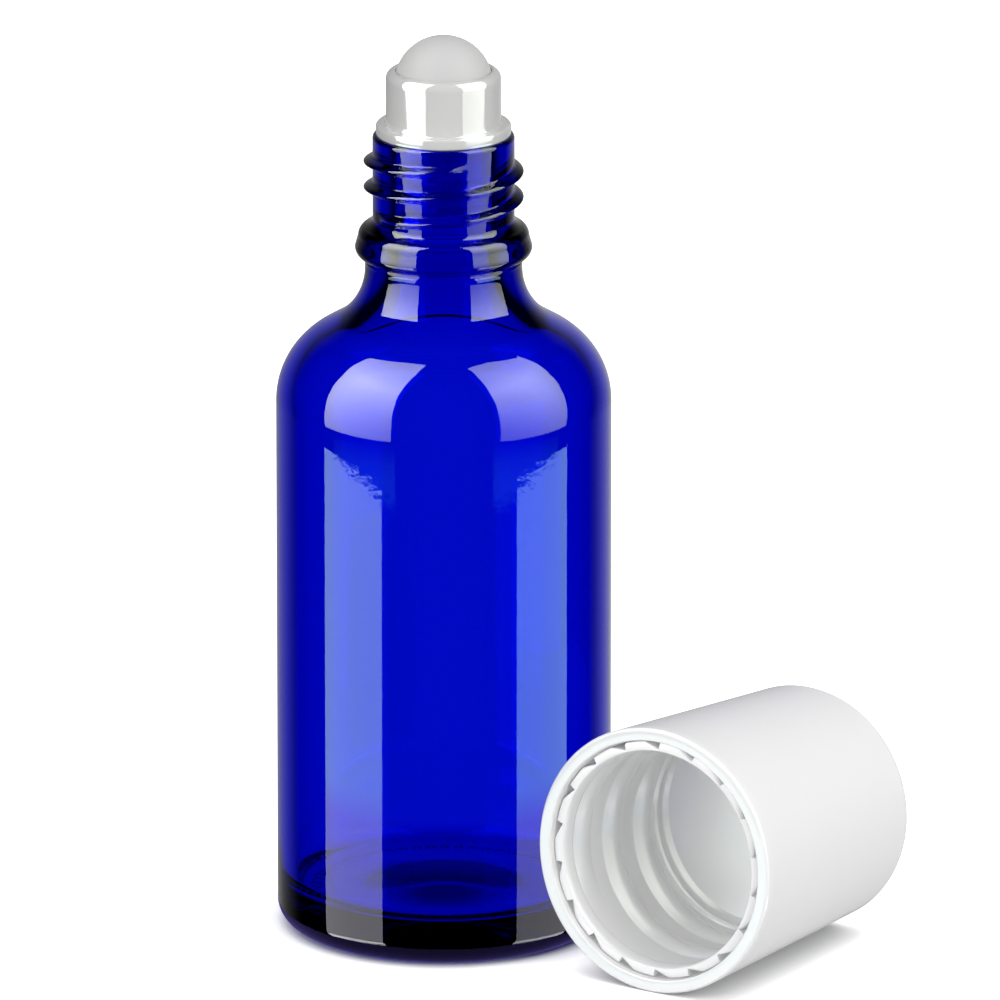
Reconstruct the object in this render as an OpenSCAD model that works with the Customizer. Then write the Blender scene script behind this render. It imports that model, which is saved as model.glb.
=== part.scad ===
// Roll-on bottle of glass with a pressed-in ball housing and a two-part screw cap, shown taken off.
// Millimetres. Z is up, the origin is the middle of the standing ring, on the surface it stands on.
// The viewer's side of the bottle is -Y.

/* [Glass body] */
// Outside diameter of the body
body_d = 37; // [35:0.5:42]
// Height of the rim of the neck above the surface
bottle_h = 90.4; // [84:0.2:100]
// Thickness of the body's side wall
wall_t = 1.9; // [1.5:0.1:2.4]
// Thickness of the base beside the push-up
base_t = 4.6; // [3:0.2:6]
// Radius of the heel outside
heel_r = 2.7; // [2:0.1:3.4]
// Radius of the heel inside
inner_heel_r = 2.2; // [1:0.1:3]
// Width of the flat ring that the bottle stands on
foot_w = 1.7; // [1.2:0.1:2.4]
// Height of the push-up in the middle of the base
punt_h = 1.8; // [0.6:0.1:2.6]
// Height of the crown of the floor inside
floor_crown = 1.1; // [0.2:0.1:2]

/* [Grip dimples under the base] */
// Number of dimples round the standing ring
dimple_n = 68; // [24:2:72]
// Diameter of a dimple
dimple_d = 0.9; // [0.5:0.1:1.1]
// Depth of a dimple
dimple_depth = 0.2; // [0.1:0.05:0.3]

/* [Shoulder and neck] */
// Radius of the shoulder's round
shoulder_r = 9.4; // [8:0.1:10.6]
// Slope of the shoulder's straight stretch, from level
shoulder_slope = 30.5; // [28:0.5:36]
// Radius of the hollow where the shoulder meets the neck
neck_fillet_r = 7.2; // [5:0.1:7.6]
// Diameter of the neck under the bead
neck_d = 17.35; // [17:0.05:18.5]
// Height of the straight neck under the bead
neck_straight_h = 1.15; // [0.8:0.05:2]
// Diameter of the bead
bead_d = 19.55; // [19:0.05:20.4]
// Height of the bead's tapered side
bead_h = 1.25; // [1:0.05:1.6]
// Radius of the bead's upper round
bead_top_r = 1.1; // [0.9:0.05:1.3]
// Radius of the bead's lower round
bead_bottom_r = 1.2; // [0.9:0.05:1.25]
// Amount by which the bead's radius narrows from its lower to its upper edge
bead_taper = 0.35; // [0.1:0.05:0.5]

/* [Neck finish] */
// Diameter of the wall that carries the thread
finish_d = 15.65; // [15.3:0.05:16]
// Height from the bead's widest edge to the rim
finish_h = 12.75; // [12.4:0.05:14]
// Diameter of the bore that the ball housing is pressed into
bore_d = 10.6; // [10:0.05:11]
// Radius of the rim's edges
rim_r = 0.5; // [0.3:0.05:0.8]
// Diameter over the thread
thread_d = 17.65; // [17.2:0.05:17.9]
// Rise of the thread in one turn
thread_pitch = 2.92; // [2.7:0.01:3]
// Width of a thread ridge where it meets the wall
thread_w = 1.3; // [1.1:0.05:2]
// Turns of the thread
thread_turns = 2; // [1.75:0.05:2.2]
// Depth of the thread's upper end below the rim
thread_top_depth = 2.3; // [2:0.05:3]
// Direction of the thread's upper end, from +X
thread_end_angle = 260; // [0:5:355]

/* [Roller ball and housing] */
// Diameter of the ball
ball_d = 10.86; // [10.4:0.02:11]
// Running clearance between the ball and its socket
ball_gap = 0.06; // [0.03:0.01:0.09]
// Height of the ball's middle above the rim
ball_rise = 5.6; // [5.2:0.1:6.4]
// Height of the housing's lip above the ball's middle
lip_rise = 1.65; // [1.4:0.05:2.4]
// Outside diameter of the housing's cup
cup_d = 12.7; // [12.4:0.1:13]
// Radius of the cup's upper edge
cup_edge_r = 1.05; // [0.6:0.05:1.1]
// Diameter of the flange that sits on the rim
flange_d = 14.9; // [14.2:0.1:15.2]
// Thickness of the flange
flange_t = 1.2; // [0.8:0.1:1.6]
// Length of the plug below the flange
plug_h = 8; // [6:0.5:10]
// Wall of the plug
plug_t = 1.25; // [1:0.05:1.4]
// Gap between the plug's wall and the bore
plug_gap = 0.15; // [0.1:0.05:0.3]
// Amount by which each sealing rib is wider than the bore, on the radius
rib_squeeze = 0.04; // [0.02:0.01:0.08]
// Number of sealing ribs
rib_n = 3; // [2:1:4]
// Diameter of the feed hole under the ball
feed_d = 5; // [3.6:0.2:5.4]
// Number of feed grooves in the seat
groove_n = 4; // [3:1:6]

/* [Cap shell] */
// Outside diameter at the mouth
cap_mouth_d = 29.8; // [28.6:0.1:32]
// Outside diameter at the closed end
cap_end_d = 26.6; // [25.8:0.1:28]
// Length of the cap
cap_l = 32.2; // [31:0.1:36]
// Thickness of the shell's side wall
cap_wall_t = 1.45; // [1.2:0.05:1.6]
// Thickness of the shell's closed end
cap_end_t = 1.6; // [1.2:0.1:2.4]
// Radius of the edge at the closed end
cap_edge_r = 1; // [0.5:0.1:1.6]
// Number of ribs that stand on the shell's closed end and stop the liner
stop_rib_n = 6; // [3:1:8]

/* [Cap liner] */
// Depth of the liner's toothed ring below the mouth
ring_recess = 0.7; // [0.4:0.1:1]
// Thickness of the toothed ring
ring_t = 1.9; // [1.5:0.1:2.2]
// Width of the toothed ring's face
ring_w = 0.85; // [0.75:0.05:1]
// Number of ratchet teeth
tooth_n = 18; // [12:1:24]
// Depth of a ratchet notch
tooth_depth = 0.5; // [0.3:0.05:0.55]
// Thickness of the liner's wall at the root of its thread
liner_t = 0.55; // [0.5:0.05:0.8]
// Thickness of the liner's end
liner_end_t = 1.25; // [1:0.05:1.6]
// Rise of the liner's thread in one turn
liner_pitch = 5.9; // [5.5:0.1:6.3]
// Height of the liner's thread ridge
liner_ridge_h = 0.5; // [0.3:0.05:0.6]
// Width of the liner's thread ridge
liner_ridge_w = 3.6; // [3:0.1:4]
// Turns of the liner's thread
liner_turns = 2.25; // [1.75:0.05:2.3]
// Depth of the ledge behind the thread
ledge_depth = 18.6; // [18.2:0.1:19]
// Amount by which the ledge narrows the bore, on the radius
ledge_step = 0.4; // [0.2:0.05:0.5]

/* [Cap lying beside the bottle] */
// Direction from the mouth to the closed end, from +X
cap_azimuth = 57.1; // [50:0.5:65]
// Gap between the bottle's wall and the cap
cap_gap = 0.5; // [0.4:0.1:3]
// Distance that the mouth stands in front of the place nearest to the bottle
cap_lead = 8.5; // [4:0.5:12]

/* [Hidden] */
$fn = 96;
// Overrun of a cut past the face that it leaves
over = 0.5;
// Steps of a quarter round in a turned outline
arc_steps = 8;

// Glass body and shoulder
body_r = body_d / 2;
neck_r = neck_d / 2;
finish_r = finish_d / 2;
bore_r = bore_d / 2;
bead_z = bottle_h - finish_h;
neck_bottom_z = bead_z - bead_bottom_r - neck_straight_h;
round_end = 90 - shoulder_slope;
fillet_end_r = neck_r + neck_fillet_r * (1 - cos(round_end));
fillet_end_z = neck_bottom_z - neck_fillet_r * sin(round_end);
shoulder_end_r = body_r - shoulder_r * (1 - cos(round_end));
// The straight stretch joins the two rounds at its own slope
shoulder_z = fillet_end_z - (shoulder_end_r - fillet_end_r) * tan(shoulder_slope)
    - shoulder_r * sin(round_end);
foot_outer_r = body_r - heel_r;
foot_inner_r = foot_outer_r - foot_w;
foot_mid_r = (foot_outer_r + foot_inner_r) / 2;

// Inside of the glass
inside_r = body_r - wall_t;
inner_shoulder_r = shoulder_r - wall_t;
inner_fillet_r = neck_fillet_r + wall_t;
inner_fillet_end_r = bore_r + inner_fillet_r * (1 - cos(round_end));
inner_shoulder_end_r = inside_r - inner_shoulder_r * (1 - cos(round_end));
inner_shoulder_z = shoulder_z;
inner_shoulder_end_z = inner_shoulder_z + inner_shoulder_r * sin(round_end);
inner_fillet_end_z = inner_shoulder_end_z
    + (inner_shoulder_end_r - inner_fillet_end_r) * tan(shoulder_slope);
bore_bottom_z = inner_fillet_end_z + inner_fillet_r * sin(round_end);

// Bead
bead_r = bead_d / 2;
bead_upper_r = bead_r - bead_taper;
bead_upper_z = bead_z + bead_h;
bead_cove_r = bead_upper_r - bead_top_r - finish_r;

// Neck thread
thread_h = thread_d / 2 - finish_r;
thread_rise = thread_turns * thread_pitch;
thread_start_z = bottle_h - thread_top_depth - thread_rise;
thread_start_angle = thread_end_angle - 360 * thread_turns;
// Depth to which a ridge is sunk into the wall that carries it
thread_sink = 0.35;
// Rings of a thread ridge in one turn, and steps across it
thread_rings = 40;
ridge_steps = 8;
// Share of a turn over which a ridge rises from the wall at each end
fade_share = 0.12;

// Roller ball and housing
ball_r = ball_d / 2;
ball_z = bottle_h + ball_rise;
ball_top_z = ball_z + ball_r;
socket_r = ball_r + ball_gap;
cup_r = cup_d / 2;
cup_top_z = ball_z + lip_rise;
flange_r = flange_d / 2;
flange_top_z = bottle_h + flange_t;
plug_r = bore_r - plug_gap;
plug_in_r = plug_r - plug_t;
plug_bottom_z = bottle_h - plug_h;
rib_r = bore_r + rib_squeeze;
// Height of a sealing rib's slope on each side
rib_half_h = 0.4;
// Height from the plug's lower end to its lowest sealing rib
rib_first = 1.2;
rib_spacing = (plug_h - rib_first - 2 * flange_t) / rib_n;
// Thickness of the seat's floor under the ball
seat_t = 1.5;
seat_bottom_z = ball_z - socket_r - seat_t + ball_gap;
// Rounds at the flange's edge and at the foot of the cup
flange_edge_r = 0.25;
cup_foot_r = 0.35;
groove_r = 0.55;
groove_place_r = feed_d / 2 + groove_r / 2;

// Cap shell, in its own frame: the mouth at 0 and the axis along +Z
mouth_r = cap_mouth_d / 2;
end_r = cap_end_d / 2;
cap_draft = atan((mouth_r - end_r) / cap_l);
function shell_out_r(depth) = mouth_r - depth * tan(cap_draft);
function shell_in_r(depth) = shell_out_r(depth) - cap_wall_t;
// Rounds of the mouth's two edges
mouth_edge_r = 0.3;
cap_inside_l = cap_l - cap_end_t;

// Cap liner, in the cap's frame
// Clearance between the liner and the shell
liner_gap = 0.03;
ring_end = ring_recess + ring_t;
ring_out_r = shell_in_r(ring_end) - liner_gap;
ring_in_r = ring_out_r - ring_w;
function liner_out_r(depth) = shell_in_r(depth) - liner_gap;
function bore_wall_r(depth) = liner_out_r(depth) - liner_t;
// The liner's end meets the ball when the mouth has come down to the bead
liner_depth = ball_top_z - bead_upper_z - bead_top_r;
liner_end = liner_depth + liner_end_t;
// Amount by which the ring's bore narrows inwards
ring_draft = 0.15;
// Length of the slopes behind the ring, outside and inside
ring_slope = 0.5;
ledge_r = bore_wall_r(ledge_depth) - ledge_step;
ledge_h = 0.4;
tooth_pitch = 360 / tooth_n;
// Share of a tooth's pitch in which it touches the shell
touch_share = 0.5;
// Depth at which the middle of the liner's thread starts, and its direction there
liner_thread_z = ring_end + liner_ridge_w / 2;
liner_start_angle = 45;
stop_rib_t = 1.2;
stop_rib_w = 5;
stop_rib_l = cap_inside_l - liner_end - liner_gap;
stop_rib_out_r = shell_in_r(cap_inside_l) - cap_edge_r;

// Place of the cap on the surface
side_azimuth = cap_azimuth - cap_draft;
near_reach = body_r + cap_gap;
rim_x = near_reach * sin(side_azimuth) - cap_lead * cos(side_azimuth);
rim_y = -near_reach * cos(side_azimuth) - cap_lead * sin(side_azimuth);
cap_x = rim_x + mouth_r * sin(cap_azimuth);
cap_y = rim_y - mouth_r * cos(cap_azimuth);
cap_z = mouth_r * cos(cap_draft);

// Points of a round about [cx, cy], from one angle to another
function arc(cx, cy, r, from, to) = [
    for (i = [0 : arc_steps])
        let (a = from + (to - from) * i / arc_steps)
            [cx + r * cos(a), cy + r * sin(a)]
];

// Smooth step from 0 to 1
function ease(u) = u * u * (3 - 2 * u);

// Height of a ridge at turn t of n turns: nothing at its ends, all of it between them
function fade(t, n) = ease(min(1, t / fade_share, (n - t) / fade_share));

// One cross-section of a thread ridge: half an ellipse that stands out of the wall, or into the bore
function ridge_ring(wall_r, out, h, w, angle, z, rise) =
    let (reach = thread_sink / 2 + (thread_sink / 2 + h) * rise)
        [for (j = [0 : ridge_steps])
            let (a = -90 + 180 * j / ridge_steps,
                r = wall_r + out * (reach * cos(a) - thread_sink))
                [r * cos(angle), r * sin(angle), z + w / 2 * sin(a)]];

// A thread ridge that winds up a wall (out = 1) or round the inside of a bore (out = -1), which may narrow by draft
module thread_ridge(wall_r, out, h, w, pitch, turns, start_angle, start_z, draft = 0) {
    rings = round(turns * thread_rings);
    side = ridge_steps + 1;
    points = [
        for (i = [0 : rings])
            let (t = turns * i / rings)
                each ridge_ring(wall_r - pitch * t * tan(draft), out, h, w, start_angle + 360 * t,
                    start_z + pitch * t, fade(t, turns))
    ];
    turned = out > 0 ? 1 : 0;
    faces = [
        for (i = [0 : rings - 1], j = [0 : side - 1])
            let (a = i * side + j, b = i * side + (j + 1) % side, c = a + side, d = b + side)
                each turned == 0 ? [[a, c, b], [b, c, d]] : [[a, b, c], [b, d, c]]
    ];
    first = [for (j = [0 : side - 1]) turned == 0 ? j : side - 1 - j];
    last = [for (j = [0 : side - 1]) rings * side + (turned == 0 ? side - 1 - j : j)];
    polyhedron(points, concat(faces, [first, last]));
}

// Outline of the glass from the middle of the base up to the rim
function glass_outside() = concat(
    [for (i = [0 : arc_steps])
        let (u = i / arc_steps)
            [foot_inner_r * u, punt_h * (1 - ease(u))]],
    arc(foot_outer_r, heel_r, heel_r, -90, 0),
    arc(body_r - shoulder_r, shoulder_z, shoulder_r, 0, round_end),
    arc(neck_r + neck_fillet_r, neck_bottom_z, neck_fillet_r, 180 + round_end, 180),
    [[neck_r, bead_z - bead_bottom_r]],
    arc(bead_r - bead_bottom_r, bead_z, bead_bottom_r, -84, 0),
    arc(bead_upper_r - bead_top_r, bead_upper_z, bead_top_r, 0, 72),
    [[finish_r + bead_cove_r / 2, bead_upper_z + bead_top_r],
        [finish_r, bead_upper_z + bead_top_r + bead_cove_r * 2]],
    arc(finish_r - rim_r, bottle_h - rim_r, rim_r, 0, 90)
);

// Outline of the hollow from the rim down to the middle of the floor
function glass_inside() = concat(
    arc(bore_r + rim_r, bottle_h - rim_r, rim_r, 90, 180),
    arc(bore_r + inner_fillet_r, bore_bottom_z, inner_fillet_r, 180, 180 + round_end),
    arc(inside_r - inner_shoulder_r, inner_shoulder_z, inner_shoulder_r, round_end, 0),
    arc(inside_r - inner_heel_r, base_t + inner_heel_r, inner_heel_r, 0, -90),
    [for (i = [1 : arc_steps])
        let (u = 1 - i / arc_steps)
            [(inside_r - inner_heel_r) * u, base_t + floor_crown * (1 - ease(u))]]
);

module glass_bottle() {
    color("mediumblue") union() {
        difference() {
            rotate_extrude() polygon(concat(glass_outside(), glass_inside()));
            base_dimples();
        }
        thread_ridge(finish_r, 1, thread_h, thread_w, thread_pitch, thread_turns,
            thread_start_angle, thread_start_z);
    }
}

// Dimples in the standing ring, which keep the bottle from slipping on the line
module base_dimples() {
    for (i = [0 : dimple_n - 1])
        rotate([0, 0, 360 * i / dimple_n])
            translate([foot_mid_r, 0, dimple_depth - over])
                cylinder(d = dimple_d, h = over, $fn = 16);
}

// The housing's turned outline: plug with sealing ribs, flange, cup and lip
function housing_outline() = concat(
    [[0, seat_bottom_z], [plug_in_r, seat_bottom_z], [plug_in_r, plug_bottom_z],
        [plug_r - rib_half_h, plug_bottom_z], [plug_r, plug_bottom_z + rib_half_h]],
    [for (i = [0 : rib_n - 1])
        let (z = plug_bottom_z + rib_first + rib_spacing * i)
            each [[plug_r, z - rib_half_h], [rib_r, z], [plug_r, z + rib_half_h]]],
    [[plug_r, bottle_h]],
    arc(flange_r - flange_edge_r, bottle_h + flange_edge_r, flange_edge_r, -90, 0),
    arc(flange_r - flange_edge_r, flange_top_z - flange_edge_r, flange_edge_r, 0, 90),
    arc(cup_r + cup_foot_r, flange_top_z + cup_foot_r, cup_foot_r, 270, 180),
    arc(cup_r - cup_edge_r, cup_top_z - cup_edge_r, cup_edge_r, 0, 90),
    [[0, cup_top_z]]
);

module roller_housing() {
    color("white") difference() {
        rotate_extrude() polygon(housing_outline());
        translate([0, 0, ball_z]) sphere(r = socket_r);
        translate([0, 0, seat_bottom_z - over]) cylinder(d = feed_d, h = seat_t + ball_r);
        for (i = [0 : groove_n - 1])
            rotate([0, 0, 360 * i / groove_n])
                translate([groove_place_r, 0, seat_bottom_z - over])
                    cylinder(r = groove_r, h = seat_t + ball_r / 2, $fn = 24);
    }
}

module roller_ball() {
    color("gainsboro") translate([0, 0, ball_z]) sphere(r = ball_r);
}

// Lays the cap's own frame down beside the bottle, resting on its tapered side
module lay_down() {
    translate([cap_x, cap_y, cap_z])
        rotate([0, 90 + cap_draft, cap_azimuth])
            children();
}

function shell_outline() = concat(
    arc(shell_in_r(0) + mouth_edge_r, mouth_edge_r, mouth_edge_r, 180, 270),
    arc(mouth_r - mouth_edge_r, mouth_edge_r, mouth_edge_r, 270, 360),
    arc(end_r - cap_edge_r, cap_l - cap_edge_r, cap_edge_r, 0, 90),
    [[0, cap_l], [0, cap_inside_l]],
    arc(shell_in_r(cap_inside_l) - cap_edge_r, cap_inside_l - cap_edge_r, cap_edge_r, 90, 0)
);

module cap_shell() {
    color("whitesmoke") lay_down() union() {
        rotate_extrude() polygon(shell_outline());
        for (i = [0 : stop_rib_n - 1])
            rotate([0, 0, 360 * i / stop_rib_n])
                translate([stop_rib_out_r - stop_rib_w, -stop_rib_t / 2, cap_inside_l - stop_rib_l])
                    cube([stop_rib_w, stop_rib_t, stop_rib_l + cap_end_t / 2]);
    }
}

// The bore from the mouth inwards: ring, thread bore, ledge and chamber
function liner_bore() = [
    [ring_in_r + ring_draft, ring_recess - over], [ring_in_r + ring_draft, ring_recess],
    [ring_in_r, ring_recess + ring_draft * 2], [ring_in_r, ring_end],
    [bore_wall_r(ring_end + ring_slope), ring_end + ring_slope],
    [bore_wall_r(ledge_depth), ledge_depth], [ledge_r, ledge_depth + ledge_h],
    [ledge_r, ledge_depth + ledge_h * 2], [bore_wall_r(liner_depth), ledge_depth + ledge_h * 3],
    [bore_wall_r(liner_depth), liner_depth], [0, liner_depth], [0, ring_recess - over]
];

// The outside of the liner, without the teeth
function liner_outside() = [
    [0, ring_recess], [ring_out_r - tooth_depth, ring_recess],
    [ring_out_r - tooth_depth, ring_end - ring_draft],
    [liner_out_r(ring_end + ring_slope), ring_end + ring_slope],
    [liner_out_r(liner_end), liner_end], [0, liner_end]
];

// Plan of the toothed ring: each tooth touches the shell, then falls away to a steep step
function tooth_plan() = [
    for (i = [0 : tooth_n - 1])
        let (a = i * tooth_pitch, run = tooth_pitch * touch_share)
            each concat(
                [for (k = [0 : arc_steps / 2])
                    let (b = a + run * k / (arc_steps / 2))
                        [ring_out_r * cos(b), ring_out_r * sin(b)]],
                [for (k = [1 : arc_steps / 2])
                    let (b = a + run + (tooth_pitch - run) * k / (arc_steps / 2),
                        r = ring_out_r - tooth_depth * k / (arc_steps / 2))
                        [r * cos(b), r * sin(b)]])
];

module cap_liner() {
    color("ghostwhite") lay_down() union() {
        difference() {
            union() {
                rotate_extrude() polygon(liner_outside());
                translate([0, 0, ring_recess])
                    linear_extrude(ring_t) polygon(tooth_plan());
            }
            rotate_extrude() polygon(liner_bore());
        }
        thread_ridge(bore_wall_r(liner_thread_z), -1, liner_ridge_h, liner_ridge_w, liner_pitch,
            liner_turns, liner_start_angle, liner_thread_z, cap_draft);
    }
}

glass_bottle();
roller_housing();
roller_ball();
cap_shell();
cap_liner();
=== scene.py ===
"""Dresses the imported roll-on bottle for its render: clear blue glass, white plastics and a plain white studio."""

import math

import bpy
import numpy as np
from mathutils import Matrix, Vector


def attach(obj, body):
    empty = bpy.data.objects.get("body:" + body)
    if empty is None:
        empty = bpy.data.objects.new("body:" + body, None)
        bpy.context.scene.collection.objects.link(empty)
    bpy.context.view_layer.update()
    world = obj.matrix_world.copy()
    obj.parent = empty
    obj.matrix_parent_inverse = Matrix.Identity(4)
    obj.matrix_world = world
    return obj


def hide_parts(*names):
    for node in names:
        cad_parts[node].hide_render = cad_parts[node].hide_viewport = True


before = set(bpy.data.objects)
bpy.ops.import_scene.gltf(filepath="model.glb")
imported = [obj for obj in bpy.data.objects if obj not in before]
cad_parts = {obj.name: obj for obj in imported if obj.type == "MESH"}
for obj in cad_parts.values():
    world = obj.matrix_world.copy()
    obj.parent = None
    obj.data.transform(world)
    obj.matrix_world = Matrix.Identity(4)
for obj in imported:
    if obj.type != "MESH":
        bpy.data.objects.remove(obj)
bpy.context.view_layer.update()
MM = 0.001

# ---------------------------------------------------------------- camera

CAMERA_PLACE = Vector((6.199, -1916.983, 616.248)) * MM
CAMERA_PITCH = math.radians(73.5)
SENSOR_W = 36
LENS = 651.744

camera_data = bpy.data.cameras.new("camera")
camera_data.sensor_width = SENSOR_W
camera_data.lens = LENS
camera_data.clip_start = 0.1
camera_data.clip_end = 20
camera = bpy.data.objects.new("camera", camera_data)
camera.location = CAMERA_PLACE
camera.rotation_euler = (CAMERA_PITCH, 0, 0)
bpy.context.scene.collection.objects.link(camera)
bpy.context.scene.camera = camera

# ---------------------------------------------------------------- sizes, in millimetres

# Glass
BODY_R = 18.5
WALL = 1.9
BASE_T = 4.6
HEEL_R = 2.7
FOOT_W = 1.7
PUNT_H = 1.8
FLOOR_CROWN = 1.1
SHOULDER_R = 9.4
SHOULDER_SLOPE = math.radians(30.5)
NECK_R = 8.675
FILLET_R = 7.2
NECK_STRAIGHT = 1.15
RIM_Z = 90.4
FINISH_R = 7.82
FINISH_H = 12.75
BORE_R = 5.3
BEAD_R = 9.775
BEAD_LOW_R = 1.2
BEAD_TOP_R = 1.1
BEAD_H = 1.25
BEAD_TAPER = 0.35
THREAD_H = 1.0
THREAD_PITCH = 2.92
THREAD_HALF_W = 0.66
THREAD_TURNS = 2.25
THREAD_TOP_Z = 88.36
THREAD_END = math.radians(292)
# Amount by which the thread stands higher on the right than on the left
THREAD_TILT = 0.14

# Ball and housing
BALL_R = 5.43
BALL_Z = 96.0
SOCKET_R = 5.49
CUP_R = 6.35
CUP_TOP = 97.65
FLANGE_R = 7.45
FLANGE_T = 1.2
PLUG_R = 5.15
PLUG_IN_R = 3.9
PLUG_BOTTOM = 82.4

# Cap
CAP_MOUTH_R = 14.9
CAP_END_R = 13.3
CAP_L = 32.2
CAP_WALL = 1.45
CAP_END_T = 1.6
CAP_AZIMUTH = math.radians(57.1)
CAP_PLACE = Vector((22.966, -26.091, 14.882))
CAP_DRAFT = math.atan((CAP_MOUTH_R - CAP_END_R) / CAP_L)
TOOTH_N = 18
TOOTH_DEPTH = 0.8
LINER_DEPTH = 21.43

# ---------------------------------------------------------------- mesh helpers


def arc(cx, cy, r, start, end, steps):
    """Points of a round about (cx, cy), from one angle to another, in degrees."""
    angles = np.radians(np.linspace(start, end, steps + 1))
    return [(cx + r * math.cos(a), cy + r * math.sin(a)) for a in angles]


def line(a, b, steps):
    """Points from a to b, without a."""
    return [tuple(np.array(a) + (np.array(b) - np.array(a)) * k / steps) for k in range(1, steps + 1)]


def ease(u):
    """Smooth step from 0 to 1."""
    u = np.clip(u, 0, 1)
    return u * u * (3 - 2 * u)


def lathe(name, profile, segments, shift=None, place=None, close=False):
    """A turned mesh from (radius, height) points. shift moves each row's radii by angle. close joins the last row to
    the first."""
    angles = np.arange(segments) * 2 * math.pi / segments
    verts, rows = [], []
    for k, (r, z) in enumerate(profile):
        if r < 1e-6:
            rows.append([len(verts)])
            verts.append((0, 0, z))
            continue
        radii = np.full(segments, float(r))
        heights = np.full(segments, float(z))
        if shift is not None:
            radii, heights = shift(k, angles, radii, heights)
        rows.append(list(range(len(verts), len(verts) + segments)))
        verts.extend(zip(radii * np.cos(angles), radii * np.sin(angles), heights))
    faces = []
    pairs = list(zip(rows[:-1], rows[1:])) + ([(rows[-1], rows[0])] if close else [])
    for low, high in pairs:
        for j in range(segments):
            n = (j + 1) % segments
            if len(low) == 1 and len(high) > 1:
                faces.append((low[0], high[n], high[j]))
            elif len(high) == 1 and len(low) > 1:
                faces.append((low[j], low[n], high[0]))
            elif len(low) > 1:
                faces.append((low[j], low[n], high[n], high[j]))
    mesh = bpy.data.meshes.new(name)
    mesh.from_pydata([Vector(v) * MM for v in verts], [], faces)
    mesh.validate()
    mesh.shade_smooth()
    obj = bpy.data.objects.new(name, mesh)
    bpy.context.scene.collection.objects.link(obj)
    if place is not None:
        mesh.transform(place)
    return obj


def crease(obj, degrees):
    """Marks the edges that turn by more than the angle as sharp."""
    obj.data.set_sharp_from_angle(angle=math.radians(degrees))


def cap_matrix():
    """Lays the cap's own frame, whose mouth is at 0 and whose axis is +Z, on the floor."""
    turn = Matrix.Rotation(CAP_AZIMUTH, 4, "Z") @ Matrix.Rotation(math.pi / 2 + CAP_DRAFT, 4, "Y")
    return Matrix.Translation(CAP_PLACE * MM) @ turn


# ---------------------------------------------------------------- material helpers


class Nodes:
    """Short names for building the node tree of a new material, or of the world."""

    def __init__(self, name, world=None):
        self.mat = world or bpy.data.materials.new(name)
        self.mat.use_nodes = True
        self.tree = self.mat.node_tree
        self.tree.nodes.clear()
        self.out = self.new("ShaderNodeOutputWorld" if world else "ShaderNodeOutputMaterial")

    def new(self, kind, **sockets):
        node = self.tree.nodes.new(kind)
        for key, value in sockets.items():
            node.inputs[key.replace("_", " ")].default_value = value
        return node

    def link(self, a, b):
        self.tree.links.new(a, b)

    def noise(self, scale, detail=2.0, roughness=0.5, stretch=None):
        """Object-space noise, with its scale in features per metre."""
        where = self.new("ShaderNodeTexCoord").outputs["Object"]
        if stretch:
            mapping = self.new("ShaderNodeMapping")
            mapping.inputs["Scale"].default_value = stretch
            self.link(where, mapping.inputs["Vector"])
            where = mapping.outputs["Vector"]
        tex = self.new("ShaderNodeTexNoise", Scale=scale, Detail=detail, Roughness=roughness)
        self.link(where, tex.inputs["Vector"])
        return tex.outputs["Fac"]

    def span(self, value, low, high, to_low, to_high, smooth=False):
        """Maps a value from one range to another."""
        node = self.new("ShaderNodeMapRange")
        node.interpolation_type = "SMOOTHSTEP" if smooth else "LINEAR"
        for key, number in zip(("From Min", "From Max", "To Min", "To Max"), (low, high, to_low, to_high)):
            node.inputs[key].default_value = number
        self.link(value, node.inputs["Value"])
        return node.outputs["Result"]

    def math(self, operation, a, b):
        """Joins two values, each a socket or a float."""
        node = self.new("ShaderNodeMath")
        node.operation = operation
        for socket, value in zip(node.inputs, (a, b)):
            if isinstance(value, float):
                socket.default_value = value
            else:
                self.link(value, socket)
        return node.outputs[0]

    def bump(self, height, distance, normal=None):
        """Bump with its depth in metres, laid over another bump's normal."""
        node = self.new("ShaderNodeBump", Strength=1.0, Distance=distance)
        self.link(height, node.inputs["Height"])
        if normal is not None:
            self.link(normal, node.inputs["Normal"])
        return node.outputs["Normal"]

    def mix_colour(self, fac, a, b):
        node = self.new("ShaderNodeMix")
        node.data_type = "RGBA"
        node.inputs["A"].default_value = a
        node.inputs["B"].default_value = b
        self.link(fac, node.inputs["Factor"])
        return node.outputs["Result"]


def plastic(name, light, dark, rough, bump_um, grain, coat=0.0, ior=1.5):
    """White moulded plastic: faint clouds in colour and gloss, and the soft unevenness of a moulded face. bump_um is
    the height of that in micrometres, and grain the scale of its finest part."""
    n = Nodes(name)
    shader = n.new("ShaderNodeBsdfPrincipled")
    cloud = n.noise(60, 1)
    n.link(n.mix_colour(n.span(cloud, 0.2, 0.8, 0, 1), dark, light), shader.inputs["Base Color"])
    n.link(n.span(n.noise(110, 1), 0.2, 0.8, rough * 0.9, rough * 1.12), shader.inputs["Roughness"])
    wave = n.bump(n.noise(90, 1), bump_um * 1e-6)
    n.link(n.bump(n.noise(grain, 2), bump_um * 0.12e-6, normal=wave), shader.inputs["Normal"])
    shader.inputs["IOR"].default_value = ior
    shader.inputs["Coat Weight"].default_value = coat
    shader.inputs["Coat Roughness"].default_value = 0.04
    shader.inputs["Coat IOR"].default_value = 2.0
    n.link(shader.outputs["BSDF"], n.out.inputs["Surface"])
    return n.mat


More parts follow.
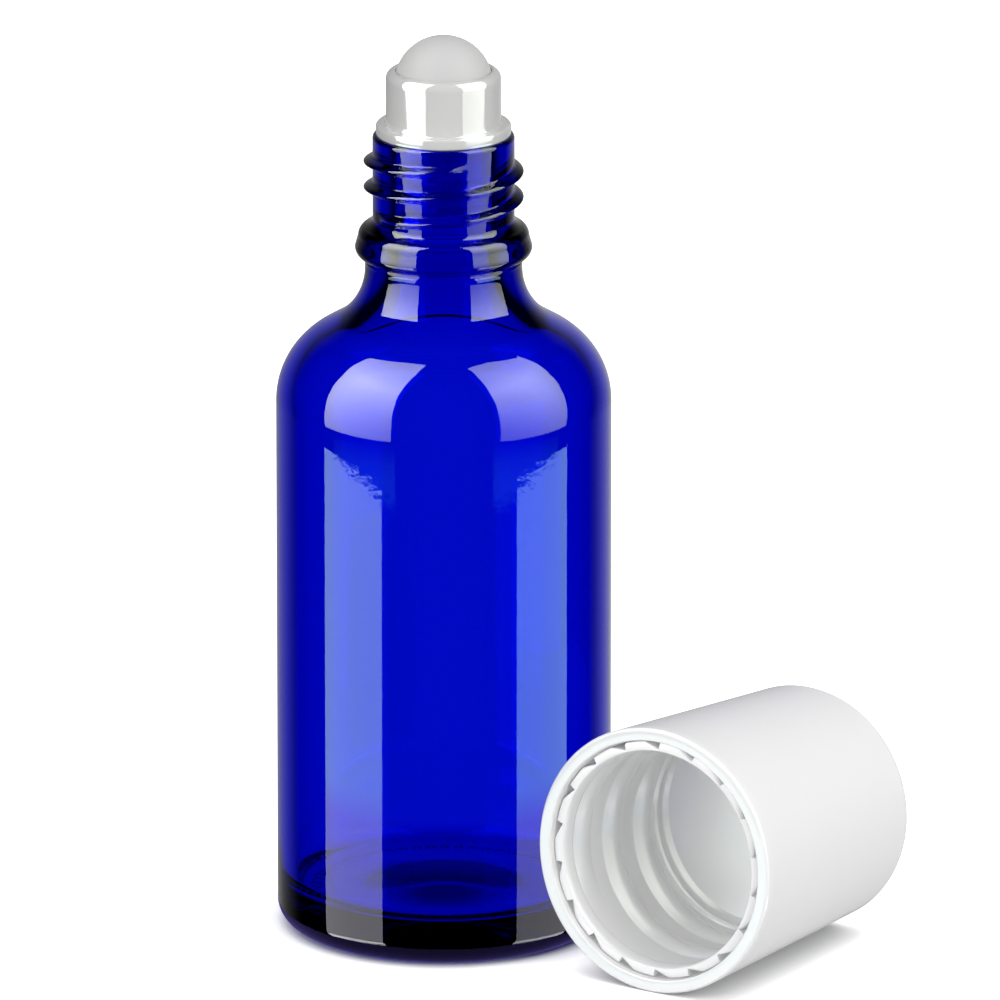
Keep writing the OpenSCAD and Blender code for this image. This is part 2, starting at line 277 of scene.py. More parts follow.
def cobalt_glass():
    """Clear cobalt glass: colourless at the surface, blue by the depth of glass that the light crosses, and rippled
    in a band under the shoulder."""
    n = Nodes("cobalt_glass")
    shader = n.new("ShaderNodeBsdfPrincipled")
    shader.inputs["Base Color"].default_value = (1, 1, 1, 1)
    shader.inputs["Transmission Weight"].default_value = 1
    shader.inputs["IOR"].default_value = 1.52
    shader.inputs["Roughness"].default_value = 0
    wave = n.bump(n.noise(170, 1.5, stretch=(1, 1, 0.6)), 1.6e-6)
    height = n.new("ShaderNodeSeparateXYZ")
    n.link(n.new("ShaderNodeTexCoord").outputs["Object"], height.inputs[0])
    level = height.outputs["Z"]
    band = n.math("MULTIPLY", n.span(level, 0.047, 0.053, 0, 1), n.span(level, 0.0565, 0.059, 1, 0))
    ripple = n.math("MULTIPLY", n.noise(1500, 2, 0.6, stretch=(1, 1, 0.8)), band)
    n.link(n.bump(ripple, 3e-6, normal=wave), shader.inputs["Normal"])
    n.link(shader.outputs["BSDF"], n.out.inputs["Surface"])
    depth = n.new("ShaderNodeVolumeAbsorption")
    depth.inputs["Color"].default_value = (0.01, 0.27, 0.935, 1)
    depth.inputs["Density"].default_value = 2000
    n.link(depth.outputs["Volume"], n.out.inputs["Volume"])
    return n.mat


# ---------------------------------------------------------------- glass bottle

round_end = math.pi / 2 - SHOULDER_SLOPE
bead_z = RIM_Z - FINISH_H
neck_low = bead_z - BEAD_LOW_R - NECK_STRAIGHT
fillet_end_r = NECK_R + FILLET_R * (1 - math.cos(round_end))
fillet_end_z = neck_low - FILLET_R * math.sin(round_end)
shoulder_end_r = BODY_R - SHOULDER_R * (1 - math.cos(round_end))
shoulder_z = (fillet_end_z - (shoulder_end_r - fillet_end_r) * math.tan(SHOULDER_SLOPE)
              - SHOULDER_R * math.sin(round_end))
foot_out = BODY_R - HEEL_R
foot_in = foot_out - FOOT_W

KNURLS = 60
GLASS_SEGMENTS = KNURLS * 8
THREAD_ROW = 0.06
INNER_RING_R = 11.0
INNER_RING_H = 0.22
INNER_RING_HALF_W = 0.2
DIMPLE_H = 1.0
DIMPLE_ROWS = 8
INNER_HEEL_R = 2.2
RIM_OUT_R = 0.45
RIM_IN_R = 0.5
COVE_H = 0.9
# Fine line under the bead: how far it stands out, and how high it is over the neck's straight part
BEAD_LINE = ((0, 0.45), (0.02, 0.6), (0.06, 0.72), (0.06, 0.82), (0.02, 0.95), (0, 1.08))


def glass_profile():
    """The bottle's outline from the middle of the base, up the outside, over the rim and down the inside. Also gives
    the rows of the grip dimples, and the first and last rows of the finish and of the cone under the inner ring."""
    deg = math.degrees(round_end)
    rows = [(foot_in * u, PUNT_H * float(1 - ease(u)) ** 2.2) for u in np.linspace(0, 1, 30)]
    dimples = [len(rows) + k for k in range(DIMPLE_ROWS)]
    rows += [(foot_in + FOOT_W * u, 0) for u in np.linspace(0.1, 0.95, DIMPLE_ROWS)]
    rows += arc(foot_out, HEEL_R, HEEL_R, -90, 0, 16)
    rows += line(rows[-1], (BODY_R, shoulder_z), 24)
    rows += arc(BODY_R - SHOULDER_R, shoulder_z, SHOULDER_R, 0, deg, 40)[1:]
    rows += arc(NECK_R + FILLET_R, neck_low, FILLET_R, 180 + deg, 180, 26)
    rows += [(NECK_R + out, neck_low + up) for out, up in BEAD_LINE]
    rows += arc(BEAD_R - BEAD_LOW_R, bead_z, BEAD_LOW_R, -84, 0, 14)
    rows += line(rows[-1], (BEAD_R - BEAD_TAPER, bead_z + BEAD_H), 4)
    rows += arc(BEAD_R - BEAD_TAPER - BEAD_TOP_R, bead_z + BEAD_H, BEAD_TOP_R, 0, 74, 12)[1:]
    cove = rows[-1]
    rows += [(FINISH_R + (cove[0] - FINISH_R) * (1 - u) ** 2, cove[1] + COVE_H * u) for u in np.linspace(0.15, 1, 8)]
    first = len(rows)
    low = rows[-1][1]
    top = RIM_Z - RIM_OUT_R
    rows += line(rows[-1], (FINISH_R, top), round((top - low) / THREAD_ROW))
    last = len(rows)
    rows += arc(FINISH_R - RIM_OUT_R, top, RIM_OUT_R, 0, 90, 8)[1:]
    rows += arc(BORE_R + RIM_IN_R, RIM_Z - RIM_IN_R, RIM_IN_R, 90, 180, 8)
    inside_r = BODY_R - WALL
    r1, r2 = SHOULDER_R - WALL, FILLET_R + WALL
    e2r = BORE_R + r2 * (1 - math.cos(round_end))
    e1r = inside_r - r1 * (1 - math.cos(round_end))
    e1z = shoulder_z + r1 * math.sin(round_end)
    bore_low = e1z + (e1r - e2r) * math.tan(SHOULDER_SLOPE) + r2 * math.sin(round_end)
    rows += line(rows[-1], (BORE_R, bore_low), 10)
    rows += arc(BORE_R + r2, bore_low, r2, 180, 180 + deg, 20)[1:]
    ring = len(rows)
    rows += line(rows[-1], (e1r, e1z), 40)
    ring_end = len(rows) - 1
    rows += arc(inside_r - r1, shoulder_z, r1, deg, 0, 26)[1:]
    floor_r = inside_r - INNER_HEEL_R
    rows += line(rows[-1], (inside_r, BASE_T + INNER_HEEL_R), 16)
    rows += arc(floor_r, BASE_T + INNER_HEEL_R, INNER_HEEL_R, 0, -90, 12)[1:]
    rows += [(floor_r * (1 - u), BASE_T + FLOOR_CROWN * float(ease(u))) for u in np.linspace(0, 1, 18)[1:]]
    return rows, dimples, (first, last), (ring, ring_end)


def thread_lift(angles, heights):
    """How far the thread stands out of the finish at each angle and height."""
    low_z = THREAD_TOP_Z - THREAD_TURNS * THREAD_PITCH
    start = THREAD_END - 2 * math.pi * THREAD_TURNS
    lift = np.zeros_like(heights)
    for turn in range(math.ceil(THREAD_TURNS)):
        along = (np.mod(angles - start, 2 * math.pi) + 2 * math.pi * turn) / (2 * math.pi)
        inside = (along >= 0) & (along <= THREAD_TURNS)
        off = np.abs(heights - THREAD_TILT * np.cos(angles) - (low_z + along * THREAD_PITCH)) / THREAD_HALF_W
        ridge = np.clip(1 - off ** 2, 0, 1) ** 1.6
        fade = ease(along / 0.1) * ease((THREAD_TURNS - along) / 0.1)
        lift = np.maximum(lift, np.where(inside, ridge * fade, 0))
    return THREAD_H * lift


def build_glass():
    """The bottle, with its thread, the ring inside its shoulder and the grip dimples of its standing ring."""
    rows, dimples, (first, last), (ring, ring_end) = glass_profile()

    def shift(k, angles, radii, heights):
        if first <= k < last:
            radii = radii + thread_lift(angles, heights)
        if ring <= k < ring_end:
            swell = math.exp(-((rows[k][0] - INNER_RING_R) / INNER_RING_HALF_W) ** 2)
            heights = heights - INNER_RING_H * swell * ease(np.sin(angles) * 1.6 - 0.25)
        if k in dimples:
            across = math.sin(math.pi * (k - dimples[0] + 0.5) / len(dimples))
            heights = heights + DIMPLE_H * across ** 0.7 * np.clip(np.cos(angles * KNURLS) * 1.6, 0, 1)
        return radii, heights

    return lathe("glass_body", rows, GLASS_SEGMENTS, shift)


glass = build_glass()
glass.data.materials.append(cobalt_glass())
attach(glass, "bottle")
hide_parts("glass_bottle")

# ---------------------------------------------------------------- ball housing


FEED_R = 2.5
SEAT_DROP = 1.4
PLUG_EDGE = 0.4
SEAL_Z = 1.2
SEAL_PITCH = 1.47
SEAL_HALF_W = 0.4
FLANGE_LOW_R = 0.2
FLANGE_TOP_R = 0.3
CUP_FOOT_R = 0.18
CUP_EDGE_R = 1.0
LIP_DROP = 0.12
LIP_R = 0.1


def housing_profile():
    """The housing's outline: inside of the plug, plug, flange, cup, lip and socket, as one closed loop."""
    seat_low = BALL_Z - SOCKET_R - SEAT_DROP
    lip_z = CUP_TOP - LIP_DROP
    lip_angle = math.degrees(math.asin((lip_z - BALL_Z) / SOCKET_R))
    flange_z = RIM_Z + FLANGE_T
    rows = [(FEED_R, seat_low), (PLUG_IN_R, seat_low), (PLUG_IN_R, PLUG_BOTTOM), (PLUG_R - PLUG_EDGE, PLUG_BOTTOM),
            (PLUG_R, PLUG_BOTTOM + PLUG_EDGE)]
    for k in range(3):
        z = PLUG_BOTTOM + SEAL_Z + SEAL_PITCH * k
        rows += [(PLUG_R, z - SEAL_HALF_W), (BORE_R - 0.01, z), (PLUG_R, z + SEAL_HALF_W)]
    rows += [(PLUG_R, RIM_Z), (FLANGE_R - FLANGE_TOP_R, RIM_Z)]
    rows += arc(FLANGE_R - FLANGE_LOW_R, RIM_Z + FLANGE_LOW_R, FLANGE_LOW_R, -90, 0, 5)
    rows += arc(FLANGE_R - FLANGE_TOP_R, flange_z - FLANGE_TOP_R, FLANGE_TOP_R, 0, 90, 6)
    rows += arc(CUP_R + CUP_FOOT_R, flange_z + CUP_FOOT_R, CUP_FOOT_R, 270, 180, 8)
    rows += line(rows[-1], (CUP_R, CUP_TOP - CUP_EDGE_R - 0.15), 12)
    rows += arc(CUP_R - CUP_EDGE_R, CUP_TOP - CUP_EDGE_R, CUP_EDGE_R, 0, 82, 14)
    rows += arc(SOCKET_R * math.cos(math.radians(lip_angle)) + LIP_R, lip_z - 0.02, LIP_R, 70, 180, 5)
    rows += arc(0, BALL_Z, SOCKET_R, lip_angle, -math.degrees(math.acos(FEED_R / SOCKET_R)), 30)[1:]
    return rows


housing = lathe("ball_housing", housing_profile(), 192, close=True)
crease(housing, 32)
housing.data.materials.append(plastic("housing_white", (0.66, 0.66, 0.655, 1), (0.62, 0.62, 0.615, 1),
                                      rough=0.09, bump_um=2, grain=2500, coat=1.0, ior=1.55))
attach(housing, "bottle")
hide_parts("roller_housing")

# ---------------------------------------------------------------- ball

ball = lathe("ball", [(BALL_R * math.cos(a), BALL_Z + BALL_R * math.sin(a))
                      for a in np.linspace(-math.pi / 2, math.pi / 2, 65)], 128)
ball.data.materials.append(plastic("ball_satin", (0.51, 0.51, 0.51, 1), (0.47, 0.47, 0.47, 1),
                                   rough=0.6, bump_um=4, grain=3500, ior=1.3))
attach(ball, "ball")
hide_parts("roller_ball")

# ---------------------------------------------------------------- cap shell


END_ROUND = 1
MOUTH_IN_R = 0.2
MOUTH_OUT_R = 0.32


def shell_in(t):
    """The shell's inside radius at a depth from the mouth."""
    return CAP_MOUTH_R - t * math.tan(CAP_DRAFT) - CAP_WALL


def shell_profile():
    """The shell's outline: closed end from inside, bore, mouth, flank and closed end from outside."""
    inner_end = CAP_L - CAP_END_T
    rows = [(0, inner_end), (shell_in(inner_end) - END_ROUND, inner_end)]
    rows += arc(shell_in(inner_end) - END_ROUND, inner_end - END_ROUND, END_ROUND, 90, 0, 8)[1:]
    rows += line(rows[-1], (shell_in(0.35), 0.35), 16)
    rows += arc(shell_in(MOUTH_IN_R) + MOUTH_IN_R, MOUTH_IN_R, MOUTH_IN_R, 180, 270, 6)
    rows += arc(CAP_MOUTH_R - MOUTH_OUT_R, MOUTH_OUT_R, MOUTH_OUT_R, 270, 357, 8)
    rows += line(rows[-1], (CAP_END_R + 0.05, CAP_L - END_ROUND), 24)
    rows += arc(CAP_END_R - END_ROUND, CAP_L - END_ROUND, END_ROUND, 3, 90, 12)
    rows += [(CAP_END_R * 0.5, CAP_L), (0, CAP_L)]
    return rows


shell = lathe("cap_outer", shell_profile(), 256, place=cap_matrix())
crease(shell, 40)
shell.data.materials.append(plastic("cap_white", (0.875, 0.875, 0.875, 1), (0.86, 0.86, 0.86, 1),
                                    rough=0.06, bump_um=2, grain=1800))
# The photo's bottle doesn't mirror the cap
shell.visible_glossy = False
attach(shell, "cap")
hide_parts("cap_shell")

# ---------------------------------------------------------------- cap liner

TEETH_STEPS = 24
LINER_SEGMENTS = TOOTH_N * TEETH_STEPS
LINER_GAP = 0.03
LINER_T = 0.5
RING_T = 2.2
RING_RECESS = 0.7
RING_W = 1.2
RING_OUT = shell_in(RING_RECESS + RING_T) - LINER_GAP
BORE_START = 3.1
BORE_END = 20.6
LEDGE = 18.6
LEDGE_W = 0.4
RIDGE_PITCH = 5.9
RIDGE_H = 0.5
RIDGE_HALF_W = 1.75
RIDGE_TURNS = 2.25
RIDGE_LOW = 4.4
RIDGE_START = math.radians(45)


def bore_wall(t):
    """The radius of the liner's bore at a depth from the mouth, without its thread."""
    return shell_in(t) - LINER_GAP - LINER_T


def liner_profile():
    """Closed loop: the liner's outside from its end to the ring, the ring's face, then the bore down to the disc.
    Also gives the rows of the ring's toothed edge and those of the bore."""
    end = LINER_DEPTH + 1.25
    face = RING_RECESS
    ring_in = RING_OUT - RING_W
    rows = [(0, end), (shell_in(end) - LINER_GAP, end)]
    rows += line(rows[-1], (shell_in(BORE_START) - LINER_GAP, BORE_START), 10)
    teeth = len(rows)
    rows += [(RING_OUT, 2.6), (RING_OUT, 1.8), (RING_OUT, face + 0.2), (RING_OUT - 0.04, face + 0.08),
             (RING_OUT - 0.12, face + 0.02)]
    teeth_end = len(rows)
    rows += [(RING_OUT - 0.14 - TOOTH_DEPTH, face)]
    rows += [(ring_in + 0.22 * (1 - u) ** 1.5, face + 0.9 * u ** 1.6) for u in np.linspace(0, 1, 9)]
    rows += [(ring_in - 0.05, 2.3), (ring_in - 0.02, 2.6), (ring_in + 0.2, 2.85), (bore_wall(BORE_START), BORE_START)]
    bore = len(rows)
    rows += line(rows[-1], (bore_wall(LEDGE), LEDGE), 90)
    bore_end = len(rows)
    low = bore_wall(LEDGE) - LEDGE_W
    rows += [(low + 0.15, LEDGE + 0.2), (low + 0.03, LEDGE + 0.42), (low, LEDGE + 0.6), (low + 0.03, LEDGE + 0.78),
             (low + 0.15, LEDGE + 1.0), (bore_wall(19.9), LEDGE + 1.3), (bore_wall(BORE_END), BORE_END),
             (bore_wall(BORE_END) - 0.08, 20.95), (bore_wall(BORE_END) - 0.35, LINER_DEPTH), (6, LINER_DEPTH + 0.05),
             (0, LINER_DEPTH + 0.08)]
    return rows, (teeth, teeth_end), (bore, bore_end)


def tooth_drop(angles):
    """How far the ring's edge falls away from the shell: nothing, then a slope, then a steep step back."""
    along = np.mod(angles / (2 * math.pi) * TOOTH_N, 1)
    return TOOTH_DEPTH * np.clip((along - 0.55) / 0.42, 0, 1) * (along < 0.98)


def ridge_lift(angles, depths):
    """How far the liner's broad thread stands into the bore."""
    lift = np.zeros_like(depths)
    for turn in range(math.ceil(RIDGE_TURNS)):
        along = (np.mod(angles - RIDGE_START, 2 * math.pi) + 2 * math.pi * turn) / (2 * math.pi)
        inside = (along >= 0) & (along <= RIDGE_TURNS)
        off = np.abs(depths - (RIDGE_LOW + along * RIDGE_PITCH)) / RIDGE_HALF_W
        ridge = np.clip(1 - off ** 2, 0, 1) ** 0.8
        fade = ease(along / 0.12) * ease((RIDGE_TURNS - along) / 0.12)
        lift = np.maximum(lift, np.where(inside, ridge * fade, 0))
    return RIDGE_H * lift


def build_liner():
    """The liner, with the teeth of its ring and its broad thread."""
    rows, (teeth, teeth_end), (bore, bore_end) = liner_profile()

    def shift(k, angles, radii, heights):
        if teeth <= k < teeth_end:
            radii = radii - tooth_drop(angles)
        if bore <= k < bore_end:
            radii = radii - ridge_lift(angles, heights)
        return radii, heights

    return lathe("cap_inner", rows, LINER_SEGMENTS, shift, place=cap_matrix())


liner = build_liner()
crease(liner, 38)
liner.data.materials.append(plastic("liner_white", (0.87, 0.87, 0.87, 1), (0.855, 0.855, 0.855, 1),
                                    rough=0.22, bump_um=1.5, grain=1800))
liner.visible_glossy = False
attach(liner, "cap")
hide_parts("cap_liner")

# ---------------------------------------------------------------- floor


def build_floor():
    """A plain pale floor that glows white to the camera, less where something stands close over it: a painted contact
    shadow, laid over the real shadows of the lamps.
    """
    mesh = bpy.data.meshes.new("floor")
    half = 4
    mesh.from_pydata([(-half, -half, 0), (half, -half, 0), (half, half, 0), (-half, half, 0)], [], [(0, 1, 2, 3)])
    floor = bpy.data.objects.new("floor", mesh)
    floor.location.z = -0.02 * MM
    bpy.context.scene.collection.objects.link(floor)
    n = Nodes("floor_white")
    diffuse = n.new("ShaderNodeBsdfDiffuse", Color=(0.8, 0.8, 0.8, 1))
    glow = n.new("ShaderNodeEmission")
    path = n.new("ShaderNodeLightPath")
    # Ambient occlusion dims the camera glow close under things: painted contact shadow
    contact_shade = n.new("ShaderNodeAmbientOcclusion", Distance=0.005)
    lift = n.math("MULTIPLY", path.outputs["Is Camera Ray"], n.span(contact_shade.outputs["AO"], 0.16, 0.95, 0, 0.97))
    n.link(lift, glow.inputs["Strength"])
    both = n.new("ShaderNodeAddShader")
    n.link(diffuse.outputs[0], both.inputs[0])
    n.link(glow.outputs[0], both.inputs[1])
    n.link(both.outputs[0], n.out.inputs["Surface"])
    mesh.materials.append(n.mat)
    floor.visible_glossy = False
    floor.visible_transmission = False
    return floor


build_floor()

# ---------------------------------------------------------------- softbox cards, seen only in gloss and glass

CARD_R = 450
CARD_Z = 62
# Height at which a card is brightest, in metres
CARD_FULL_Z = 0.4


def heading(azimuth, elevation):
    """Direction from its angle to the right of the camera's side and its height, in degrees."""
    a, e = math.radians(azimuth), math.radians(elevation)
    return np.array((math.sin(a) * math.cos(e), -math.cos(a) * math.cos(e), math.sin(e)))


def card(name, back, front, colour, foot_share):
    """A curved glowing card between two upright edges, each a list of (azimuth, elevation), bottom to top."""
    cols, fine = 16, 6
    verts, rows = [], (len(back) - 1) * fine
    for i in range(rows + 1):
        k = min(i // fine, len(back) - 2)
        v = i / fine - k
        left = heading(*back[k]) * (1 - v) + heading(*back[k + 1]) * v
        right = heading(*front[k]) * (1 - v) + heading(*front[k + 1]) * v
        for j in range(cols + 1):
            d = left + (right - left) * j / cols
            verts.append(tuple((d / np.linalg.norm(d) * CARD_R + np.array((0, 0, CARD_Z))) * MM))
    faces = [(i * (cols + 1) + j, i * (cols + 1) + j + 1, (i + 1) * (cols + 1) + j + 1, (i + 1) * (cols + 1) + j)
             for i in range(rows) for j in range(cols)]
    return glow_mesh(name, verts, faces, colour, foot_share)


def glow_mesh(name, verts, faces, colour, foot_share=None):
    """A glowing sheet of one colour, or of two (height in metres, colour) pairs that it runs between. With
    foot_share, its strength falls to that share at its foot, and by less towards its top, front and back."""
    mesh = bpy.data.meshes.new(name)
    mesh.from_pydata(verts, [], faces)
    obj = bpy.data.objects.new(name, mesh)
    bpy.context.scene.collection.objects.link(obj)
    n = Nodes(name)
    glow = n.new("ShaderNodeEmission")
    place = n.new("ShaderNodeSeparateXYZ")
    n.link(n.new("ShaderNodeTexCoord").outputs["Object"], place.inputs[0])
    if len(colour) == 2:
        (low, low_colour), (high, high_colour) = colour
        fade = n.span(place.outputs["Z"], low, high, 0, 1)
        n.link(n.mix_colour(fade, (*low_colour, 1), (*high_colour, 1)), glow.inputs["Color"])
    else:
        glow.inputs["Color"].default_value = (*colour, 1)
    if foot_share is not None:
        rise = n.math("POWER", n.span(place.outputs["Z"], -0.05, CARD_FULL_Z, 0, 1), 1.25)
        rise = n.span(rise, 0, 1, foot_share, 1)
        fall = n.span(place.outputs["Z"], CARD_FULL_Z, 0.5, 1, 0.55)
        front = n.span(place.outputs["Y"], -0.36, -0.1, 0.74, 1.12)
        back = n.span(place.outputs["Y"], -0.02, 0.14, 1, 0.6)
        side = n.math("MULTIPLY", front, back)
        n.link(n.math("MULTIPLY", n.math("MULTIPLY", rise, fall), side), glow.inputs["Strength"])
    n.link(glow.outputs[0], n.out.inputs["Surface"])
    mesh.materials.append(n.mat)
    obj.visible_camera = False
    obj.visible_diffuse = False
    obj.visible_shadow = False
    return obj


def skirt(name, az_from, az_to, top_from, top_to, low, colour, radius=CARD_R):
    """The lower, dimmer part of a softbox, as a table top mirrors it. Its top runs from one height to another, in
    millimetres, and its foot is level."""
    verts, cols = [], 16
    for j in range(cols + 1):
        u = j / cols
        a = math.radians(az_from + (az_to - az_from) * u)
        x, y = radius * math.sin(a) * MM, -radius * math.cos(a) * MM
        verts += [(x, y, (top_from + (top_to - top_from) * u) * MM), (x, y, low * MM)]
    faces = [(2 * j, 2 * j + 2, 2 * j + 3, 2 * j + 1) for j in range(cols)]
    return glow_mesh(name, verts, faces, colour)


card("card_left",
     back=[(-86.5, -10), (-88, 6.5), (-92.7, 24.8), (-100.5, 40.3), (-120, 52.6), (-138.5, 57.9)],
     front=[(-35.3, -13.5), (-35.3, 7.8), (-37.4, 30.9), (-42.2, 56), (-54.5, 73.3), (-135.5, 80.6)],
     colour=(9.8, 10.2, 9.5), foot_share=0.38)
card("card_right",
     back=[(90.3, -11), (93, 7), (96.5, 21.5), (105.1, 38.1), (120.3, 49.8), (139.2, 56.1)],
     front=[(38.4, -13.5), (38.6, 7), (39.5, 25), (41.8, 46), (51.1, 66.3), (103.4, 80.1)],
     colour=(6.6, 7, 6.3), foot_share=0.3)

SKIRT_LEFT = (-88.5, -42.4)
SKIRT_RIGHT = (50.6, 92.5)
SKIRT_LOW = -400
skirt("skirt_left", *SKIRT_LEFT, -67.9, -74.5, SKIRT_LOW, [(-0.121, (2.7, 2.65, 2.9)), (-0.116, (2.65, 3.9, 3.6))])
skirt("skirt_right", *SKIRT_RIGHT, -73.6, -67.8, SKIRT_LOW, [(-0.121, (1.7, 1.7, 1.9)), (-0.116, (1.75, 3.05, 3.6))])

# Faint blue light between the cards and their skirts
FILL = [(-0.0755, (0.05, 0.3, 0.65)), (-0.0655, (0, 0.02, 0.06))]
FILL_LOW = -77.5
skirt("fill_left", -80, -33, -66, -64, FILL_LOW, FILL, CARD_R + 8)
skirt("fill_right", 33.5, 84, -64, -66, FILL_LOW, FILL, CARD_R + 8)

# Bright lines at the skirts' feet, mirrored where the body turns into the heel
FOOT_TOP, FOOT_LOW = -185, -250
skirt("foot_left", *SKIRT_LEFT, FOOT_TOP, FOOT_TOP, FOOT_LOW, (8.5, 8.5, 8.8), CARD_R - 6)
skirt("foot_right", *SKIRT_RIGHT, FOOT_TOP, FOOT_TOP, FOOT_LOW, (6, 6, 6.4), CARD_R - 6)

FLAG_GAP = 0.22
FLAG_FROM = 31
FLAG_REACH_TOP = 56
FLAG_REACH_LOW = 36
FLAG_COLS = 41


def build_flag():
    """A black flag close over the neck's flare and cone, seen only in gloss: it paints a dark reflection there and
    keeps the cards out of it. It starts where the flare is turned by FLAG_FROM degrees, and reaches less far round
    towards its foot."""
    deg = math.degrees(round_end)
    cone_end_z = fillet_end_z - (shoulder_end_r - fillet_end_r) * math.tan(SHOULDER_SLOPE)
    rows = arc(NECK_R + FILLET_R, neck_low, FILLET_R - FLAG_GAP, 180 + FLAG_FROM, 180 + deg, 14)
    rows += line(rows[-1], (shoulder_end_r + FLAG_GAP * math.cos(round_end),
                            cone_end_z + FLAG_GAP * math.sin(round_end)), 4)
    verts = []
    for k, (r, z) in enumerate(rows):
        reach = FLAG_REACH_TOP + (FLAG_REACH_LOW - FLAG_REACH_TOP) * k / (len(rows) - 1)
        for a in np.radians(np.linspace(-90 - reach, -90 + reach, FLAG_COLS)):
            verts.append((r * math.cos(a) * MM, r * math.sin(a) * MM, z * MM))
    faces = [(i * FLAG_COLS + j, i * FLAG_COLS + j + 1, (i + 1) * FLAG_COLS + j + 1, (i + 1) * FLAG_COLS + j)
             for i in range(len(rows) - 1) for j in range(FLAG_COLS - 1)]
    mesh = bpy.data.meshes.new("neck_flag")
    mesh.from_pydata(verts, [], faces)
    flag = bpy.data.objects.new("neck_flag", mesh)
    bpy.context.scene.collection.objects.link(flag)
    n = Nodes("flag_black")
    n.link(n.new("ShaderNodeEmission", Strength=0.0).outputs[0], n.out.inputs["Surface"])
    flag.data.materials.append(n.mat)
    flag.visible_camera = False
    flag.visible_diffuse = False
    flag.visible_transmission = False
    flag.visible_shadow = False
    return flag


build_flag()


def build_heel_glow():
    """A violet glowing ring round the bottle, seen only in the gloss of the heel: a painted reflection that stands
    for the sheen of the table top close round it.
    """
    sides = 64
    verts = [(r * math.cos(a) * MM, r * math.sin(a) * MM, 0)
             for r in (11, 21.5) for a in np.linspace(0, 2 * math.pi, sides + 1)[:-1]]
    faces = [(k, (k + 1) % sides, sides + (k + 1) % sides, sides + k) for k in range(sides)]
    glow = glow_mesh("heel_glow", verts, faces, (0.135, 0.105, 0.4))
    glow.location.z = -0.15 * MM
    glow.visible_transmission = False


build_heel_glow()


def build_under_shadow():
    """A painted shadow: the dark middle of the table top under the push-up, as a black sheet seen only through the
    glass.
    """
    radius, sides = 8.0, 48
    mesh = bpy.data.meshes.new("under_shadow")
    ring = [(radius * math.cos(a) * MM, radius * math.sin(a) * MM, 0)
            for a in np.linspace(0, 2 * math.pi, sides + 1)[:-1]]
    mesh.from_pydata(ring, [], [tuple(range(sides))])
    spot = bpy.data.objects.new("under_shadow", mesh)
    spot.location.z = -0.01 * MM
    bpy.context.scene.collection.objects.link(spot)
    n = Nodes("shadow_black")
    reach = n.new("ShaderNodeVectorMath")
    reach.operation = "LENGTH"
    n.link(n.new("ShaderNodeTexCoord").outputs["Object"], reach.inputs[0])
    mix = n.new("ShaderNodeMixShader")
    n.link(n.span(reach.outputs["Value"], 0.003, 0.0078, 0.85, 0), mix.inputs[0])
    n.link(n.new("ShaderNodeBsdfTransparent").outputs[0], mix.inputs[1])
    n.link(n.new("ShaderNodeEmission", Strength=0.0).outputs[0], mix.inputs[2])
    n.link(mix.outputs[0], n.out.inputs["Surface"])
    mesh.materials.append(n.mat)
    spot.visible_camera = False
    spot.visible_diffuse = False
    spot.visible_glossy = False
    spot.visible_shadow = False
    return spot


build_under_shadow()

# ---------------------------------------------------------------- lamps and world


def lamp(name, place, size, power):
    """A soft square lamp that points at the object and lights only dull surfaces: the cards are its reflection."""
    data = bpy.data.lights.new(name, "AREA")
    data.shape = "SQUARE"
    data.size = size
    data.energy = power
    obj = bpy.data.objects.new(name, data)
    obj.location = place
    aim = Vector((0.01, 0, 0.04)) - Vector(place)
    obj.rotation_euler = aim.to_track_quat("-Z", "Y").to_euler()
    obj.visible_glossy = False
    obj.visible_transmission = False
    bpy.context.scene.collection.objects.link(obj)


lamp("lamp_left", (-0.62, -0.62, 0.28), 0.6, 2.7)
lamp("lamp_right", (0.66, -0.58, 0.28), 0.6, 3.08)
lamp("lamp_top", (0.1, -0.1, 0.9), 0.7, 3.6)


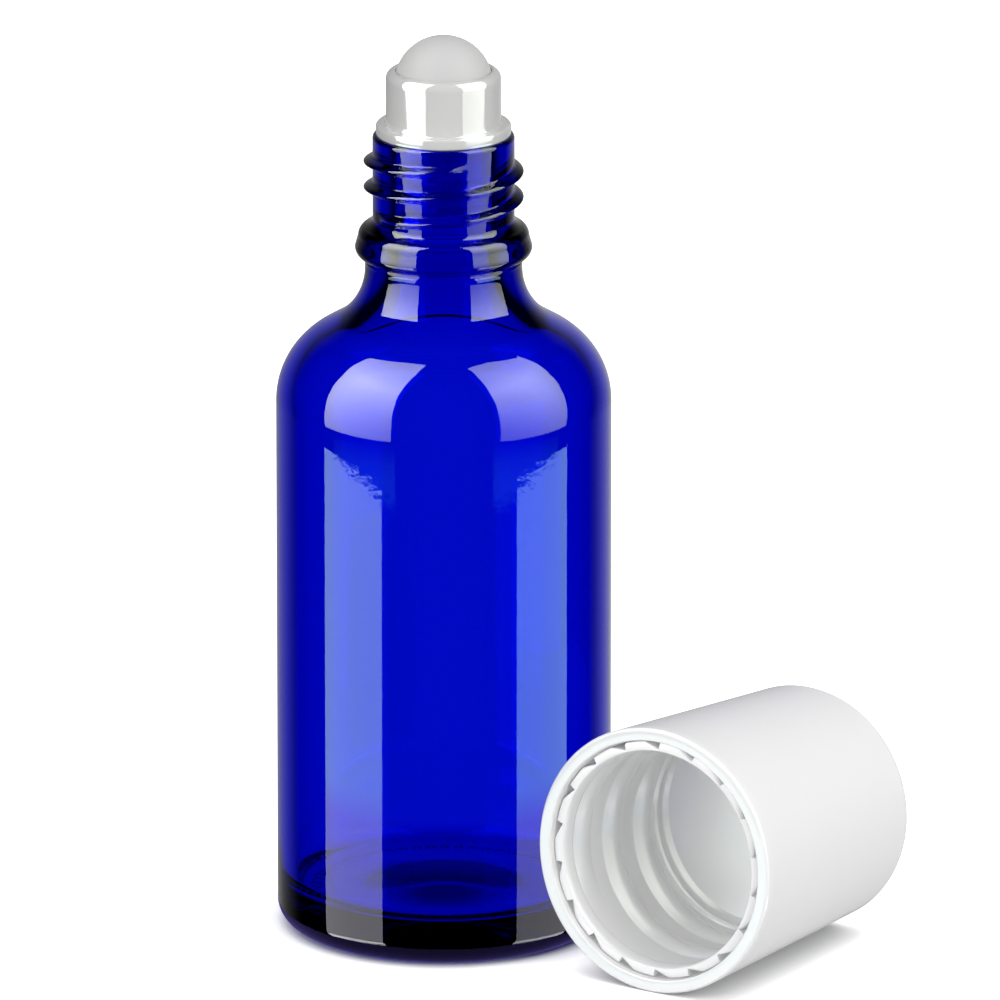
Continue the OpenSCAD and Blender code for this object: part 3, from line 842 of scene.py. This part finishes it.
def build_world():
    """White to the camera, a soft fill for dull surfaces, and for glass and gloss a white backdrop behind the object
    that darkens towards the sides, sooner in reflections."""
    world = bpy.data.worlds.new("studio")
    bpy.context.scene.world = world
    n = Nodes("studio", world)
    path = n.new("ShaderNodeLightPath")
    direction = n.new("ShaderNodeTexCoord").outputs["Generated"]
    ahead = n.new("ShaderNodeVectorMath")
    ahead.operation = "DOT_PRODUCT"
    n.link(direction, ahead.inputs[0])
    ahead.inputs[1].default_value = (0, math.sin(CAMERA_PITCH), -math.cos(CAMERA_PITCH))
    ahead = ahead.outputs["Value"]
    across = n.new("ShaderNodeSeparateXYZ")
    n.link(direction, across.inputs[0])

    scattered = n.math("GREATER_THAN", path.outputs["Diffuse Depth"], 0.5)
    direct = n.math("SUBTRACT", 1.0, scattered)
    mirror_sight = n.math("POWER", n.span(ahead, 0.5, 1, 0, 1), 1.8)
    mirror_sight = n.math("MULTIPLY", mirror_sight, n.span(across.outputs["X"], -0.15, 0.3, 0.36, 0.65, smooth=True))
    upward = n.math("MULTIPLY", n.math("MAXIMUM", across.outputs["Z"], 0.0), 0.7)
    glass_sight = n.span(n.math("SUBTRACT", ahead, upward), 0.5, 1, 0.02, 1, smooth=True)
    # Light that has crossed more than one wall still meets the white backdrop
    crossed = n.math("GREATER_THAN", path.outputs["Transmission Depth"], 2.5)
    glass_sight = n.math("MAXIMUM", glass_sight, n.math("MULTIPLY", crossed, 0.82))

    mirrored = n.math("SUBTRACT", path.outputs["Is Glossy Ray"], path.outputs["Is Transmission Ray"])
    mirror_level = n.math("MULTIPLY", n.math("MAXIMUM", mirrored, 0.0), mirror_sight)
    seen = n.math("ADD", mirror_level, n.math("MULTIPLY", path.outputs["Is Transmission Ray"], glass_sight))
    level = n.math("ADD", path.outputs["Is Camera Ray"], n.math("MULTIPLY", scattered, 0.46))
    level = n.math("ADD", level, n.math("MULTIPLY", seen, direct))
    back = n.new("ShaderNodeBackground", Color=(1, 1, 1, 1))
    n.link(level, back.inputs["Strength"])
    n.link(back.outputs[0], n.out.inputs["Surface"])


build_world()
bpy.context.scene.view_settings.view_transform = "Standard"
